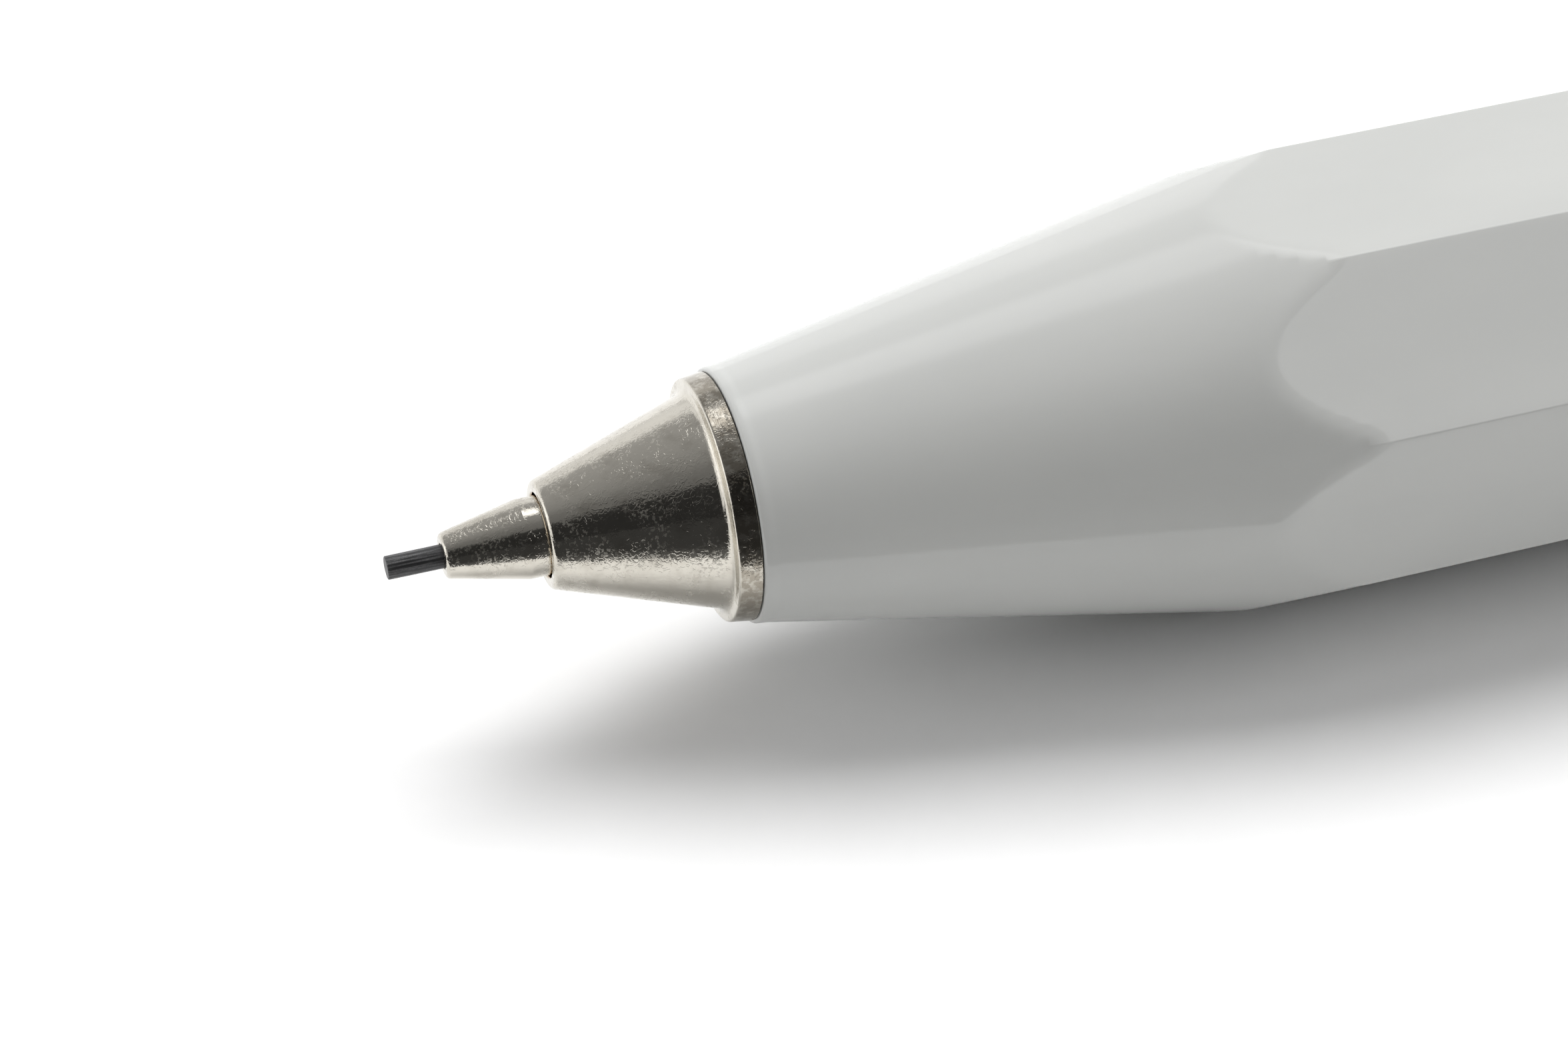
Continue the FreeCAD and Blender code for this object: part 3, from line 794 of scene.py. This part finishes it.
def push_button():
    front, rear, radius = reach("push_button")
    crown_radius = (radius ** 2 + CAP_CROWN ** 2) / (2 * CAP_CROWN)
    inner = radius - CAP_WALL

    def crown(share):
        return (rear - (radius * share) ** 2 / (2 * crown_radius), radius * share)

    shoulder = rear - CAP_CROWN
    corners = [(front, inner, 0.08), (front, radius, 0.18), (shoulder, radius, 0.8)]
    corners += [crown(share) for share in (0.75, 0.6, 0.45, 0.3, 0.15)]
    corners += [(rear, 0), (rear - CAP_TOP, 0), (rear - CAP_TOP, inner, 0.2)]
    return turned("push_button_cap", corners, even_angles(160), steps=10)


def button_liner():
    front, rear, radius = reach("button_liner")
    corners = [
        (front, LINER_BORE, 0.15),
        (front, radius, 0.1),
        (rear, radius, 0.1),
        (rear, LINER_BORE, 0.1),
    ]
    return turned("button_bush", corners, even_angles(96))


def return_spring():
    """Wire along a helix whose end coils lie closed, blended between its two seats."""
    front, rear, _ = reach("return_spring")
    around, per_turn = 12, 40
    count = SPRING_TURNS * per_turn
    share = np.arange(count + 1) / count
    opening = np.clip(share / CLOSED_SHARE, 0, 1) * np.clip((1 - share) / CLOSED_SHARE, 0, 1)
    pace = opening * (1 - CLOSED_PACE) + CLOSED_PACE
    travel = np.concatenate([[0], np.cumsum((pace[1:] + pace[:-1]) / 2)])
    stations = front + WIRE_RADIUS + travel / travel[-1] * (rear - front - 2 * WIRE_RADIUS)
    turns = share * SPRING_TURNS * FULL_TURN
    section = even_angles(around)
    grid = place(
        stations[:, None] + WIRE_RADIUS * np.sin(section)[None, :],
        COIL_RADIUS + WIRE_RADIUS * np.cos(section)[None, :],
        turns[:, None] + 0 * section[None, :],
    )
    points = list(grid.reshape(-1, 3))
    faces = []
    for i in range(count):
        for j in range(around):
            across = (j + 1) % around
            a, b = i * around, (i + 1) * around
            faces.append([a + j, b + j, b + across, a + across])
    for ring, flip in ((0, False), (count, True)):
        centre = len(points)
        points.append(grid[ring].mean(axis=0))
        for j in range(around):
            pair = [ring * around + j, ring * around + (j + 1) % around]
            faces.append([centre] + (pair[::-1] if flip else pair))
    piece = add_mesh("return_spring_coil", np.array(points), faces)
    start = (POINT_X + front * MM, 0, AXIS_Z)
    end = (POINT_X + rear * MM, 0, AXIS_Z)
    return piece, start, end


# ======================================================================= assembly

def dress(piece, finish):
    piece.data.materials.clear()
    piece.data.materials.append(finish)


def build_pieces(finishes):
    """Every turned piece: its mesh, its body, the CAD node it stands for and its finish."""
    table = [
        (barrel, "barrel_body", "barrel", "barrel_plastic"),
        (barrel_insert, "barrel_body", "barrel_insert", "brass"),
        (lead_guide, "barrel_body", "lead_guide", "nickel_plate"),
        (nose_cone, "nose", "nose_cone", "nickel_plate"),
        (lead, "lead_in_use", "lead", "graphite"),
        (lead_tube, "feeder", "lead_tube", "black_plastic"),
        (eraser_ferrule, "eraser_plug", "eraser_ferrule", "ferrule_aluminium"),
        (eraser, "eraser_plug", "eraser", "eraser_rubber"),
        (push_button, "button", "push_button", "nickel_plate"),
        (button_liner, "button", "button_liner", "black_plastic"),
    ]
    for make, body, node, slot in table:
        piece = make()
        dress(piece, finishes[slot])
        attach(piece, body)
        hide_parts(node)
    spring, start, end = return_spring()
    dress(spring, finishes["spring_steel"])
    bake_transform(spring)
    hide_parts("return_spring")


def dress_cad_nodes(finishes):
    """The inner pieces keep their CAD shape and get a finish of their own."""
    slots = {
        "brass": ("clutch_ring", "jaw_1", "jaw_2", "jaw_3", "chuck"),
        "black_plastic": ("tube_collar", "mechanism_sleeve"),
        "black_rubber": ("lead_retainer",),
        "graphite": ("spare_leads",),
    }
    for slot, nodes in slots.items():
        for node in nodes:
            dress(frame["nodes"][node], finishes[slot])


# ======================================================================= studio

# Angles in degrees, distances in metres, the lens and its sensor in millimetres.
CAMERA_AZIMUTH = -17.85
CAMERA_ELEVATION = 41.77
CAMERA_DISTANCE = 0.1124
CAMERA_AIM = Vector((POINT_X + 11.77 * MM, 0, 5.0 * MM))
CAMERA_LENS = 88.71
SENSOR_WIDTH = 36.0
CLIP_START = 0.002
LAMP_DISTANCE = 1.5
FLOOR_HALF = 3.0
FLOOR_DROP = 0.00001
CARD_Y = -17.0 * MM
CARD_TOP = 14.0 * MM
CARD_HALF = 0.4
BACKDROP = 0.95


def direction(azimuth, elevation):
    """Unit vector: azimuth 0 points along -Y and 90 along +X, both in degrees."""
    a, e = math.radians(azimuth), math.radians(elevation)
    return Vector((math.sin(a) * math.cos(e), -math.cos(a) * math.cos(e), math.sin(e)))


def camera():
    back = direction(CAMERA_AZIMUTH, CAMERA_ELEVATION)
    data = bpy.data.cameras.new("camera")
    data.lens = CAMERA_LENS
    data.sensor_width = SENSOR_WIDTH
    data.clip_start = CLIP_START
    seen = bpy.data.objects.new("camera", data)
    seen.location = CAMERA_AIM + back * CAMERA_DISTANCE
    seen.rotation_mode = "QUATERNION"
    seen.rotation_quaternion = (-back).to_track_quat("-Z", "Y")
    bpy.context.scene.collection.objects.link(seen)
    bpy.context.scene.camera = seen


def flat_sheet(name, corners):
    mesh = bpy.data.meshes.new(name)
    mesh.from_pydata(corners, [], [(0, 1, 2, 3)])
    sheet = bpy.data.objects.new(name, mesh)
    bpy.context.scene.collection.objects.link(sheet)
    return sheet


def floor():
    """A plain pale sheet of matt paper."""
    z = cad_low.z - FLOOR_DROP
    signs = ((-1, -1), (1, -1), (1, 1), (-1, 1))
    sheet = flat_sheet("floor", [(x * FLOOR_HALF, y * FLOOR_HALF, z) for x, y in signs])
    paper, graph, surface = material("pale_floor", Roughness=0.9, Specular_IOR_Level=0.1)
    tone = graph.spread(graph.noise(0.35, detail=4.0), 0.2, 0.8)
    graph.put(surface["Base Color"], graph.mix(tone, grey(0.89), grey(0.91)))
    sheet.data.materials.append(paper)


# Brightness of the studio round the pencil, from the front horizon (0) over the top to the back (1).
# The ramp's own colours stay under 1: it takes these divided by SKY_SCALE, and they are scaled back after.
SKY_SCALE = 2
SKY = [
    (0.00, 0.028),
    (0.28, 0.032),
    (0.33, 0.05),
    (0.35, 0.17),
    (0.43, 0.21),
    (0.50, 0.30),
    (0.62, 0.38),
    (0.78, 0.44),
    (0.835, 0.50),
    (0.86, 1.00),
    (0.93, 1.02),
    (1.00, 0.92),
]


def world():
    """Soft light that changes with direction, with a highlight patch and a glow on the left.

    It lights everything, and the nickel reflects it. The camera sees an even pale backdrop instead.
    """
    made = bpy.data.worlds.new("studio")
    bpy.context.scene.world = made
    made.use_nodes = True
    made.node_tree.nodes.clear()
    graph = Graph(made.node_tree)
    ray = graph.add("ShaderNodeTexCoord", {}, "Generated")
    split = made.node_tree.nodes.new("ShaderNodeSeparateXYZ")
    made.node_tree.links.new(ray, split.inputs[0])
    x, y, z = split.outputs
    turn = graph.math("ARCTAN2", z, graph.math("MULTIPLY", y, -1.0))
    share = graph.math("DIVIDE", turn, math.pi)
    ramp = made.node_tree.nodes.new("ShaderNodeValToRGB")
    made.node_tree.links.new(share, ramp.inputs[0])
    stops = ramp.color_ramp.elements
    while len(stops) > 1:
        stops.remove(stops[-1])
    stops[0].position = SKY[0][0]
    stops[0].color = grey(SKY[0][1] / SKY_SCALE)
    for place_on_ramp, level in SKY[1:]:
        stop = stops.new(place_on_ramp)
        stop.color = grey(level / SKY_SCALE)
    sky = graph.math("MULTIPLY", ramp.outputs[0], SKY_SCALE)
    lower_edge, upper_edge = graph.spread(share, 0.567, 0.622), graph.spread(share, 0.744, 0.689)
    band = graph.math("MULTIPLY", lower_edge, upper_edge)
    patch = graph.math("MULTIPLY", band, graph.spread(x, -0.14, -0.06))
    highlight = graph.math("MULTIPLY", patch, 1.6)
    left_glow = graph.spread(x, -0.72, -0.92)
    level = graph.math("ADD", graph.math("ADD", sky, highlight), left_glow)
    seen = graph.add("ShaderNodeLightPath", {}, "Is Camera Ray")
    shown = graph.mix(seen, level, grey(BACKDROP))
    light = graph.add("ShaderNodeBackground", {"Color": shown, "Strength": 1.0})
    graph.add("ShaderNodeOutputWorld", {"Surface": light})


def softbox(name, azimuth, elevation, size, power, part="diffuse"):
    """A soft lamp aimed at the pencil that lights only the diffuse or only the glossy part."""
    data = bpy.data.lights.new(name, "AREA")
    data.shape = "RECTANGLE"
    data.size, data.size_y = size
    data.energy = power
    lamp = bpy.data.objects.new(name, data)
    out = direction(azimuth, elevation)
    lamp.location = CAMERA_AIM + out * LAMP_DISTANCE
    lamp.rotation_mode = "QUATERNION"
    lamp.rotation_quaternion = (-out).to_track_quat("-Z", "Y")
    lamp.visible_camera = False
    lamp.visible_glossy = part == "glossy"
    lamp.visible_diffuse = part == "diffuse"
    bpy.context.scene.collection.objects.link(lamp)


def dark_card():
    """A dark card standing in front of the pencil. Only reflections see it, and it casts no shadow. It glows
    faintly, most near the floor, so it paints a dark band with a pale lower edge into the reflections.
    """
    ends = ((-CARD_HALF, 0), (CARD_HALF, 0), (CARD_HALF, CARD_TOP), (-CARD_HALF, CARD_TOP))
    sheet = flat_sheet("dark_card", [(x, CARD_Y, z) for x, z in ends])
    made = bpy.data.materials.new("dark_card")
    made.use_nodes = True
    made.node_tree.nodes.clear()
    graph = Graph(made.node_tree)
    # Painted reflection: the glow is 0.16 at floor level and fades to 0.05 higher up.
    glow = graph.spread(graph.parts()[2], -6.5, -1.0, 0.16, 0.05)
    light = graph.add("ShaderNodeEmission", {"Color": glow, "Strength": 1.0})
    graph.add("ShaderNodeOutputMaterial", {"Surface": light})
    sheet.data.materials.append(made)
    for ray in ("camera", "diffuse", "transmission", "volume_scatter", "shadow"):
        setattr(sheet, "visible_" + ray, False)


def studio():
    camera()
    floor()
    world()
    dark_card()
    softbox("key", azimuth=175, elevation=66, size=(1.5, 0.9), power=19.8)
    softbox("right", azimuth=80, elevation=22, size=(1.2, 0.75), power=14.4)
    softbox("side_gloss", azimuth=40, elevation=42, size=(0.48, 0.42), power=0.81, part="glossy")
    bpy.context.scene.view_settings.view_transform = "Standard"


def main():
    makers = (nickel_plate, barrel_plastic, graphite, brass, ferrule_aluminium, spring_steel,
              black_plastic, black_rubber, eraser_rubber)
    finishes = {make.__name__: make() for make in makers}
    build_pieces(finishes)
    dress_cad_nodes(finishes)
    studio()


main()
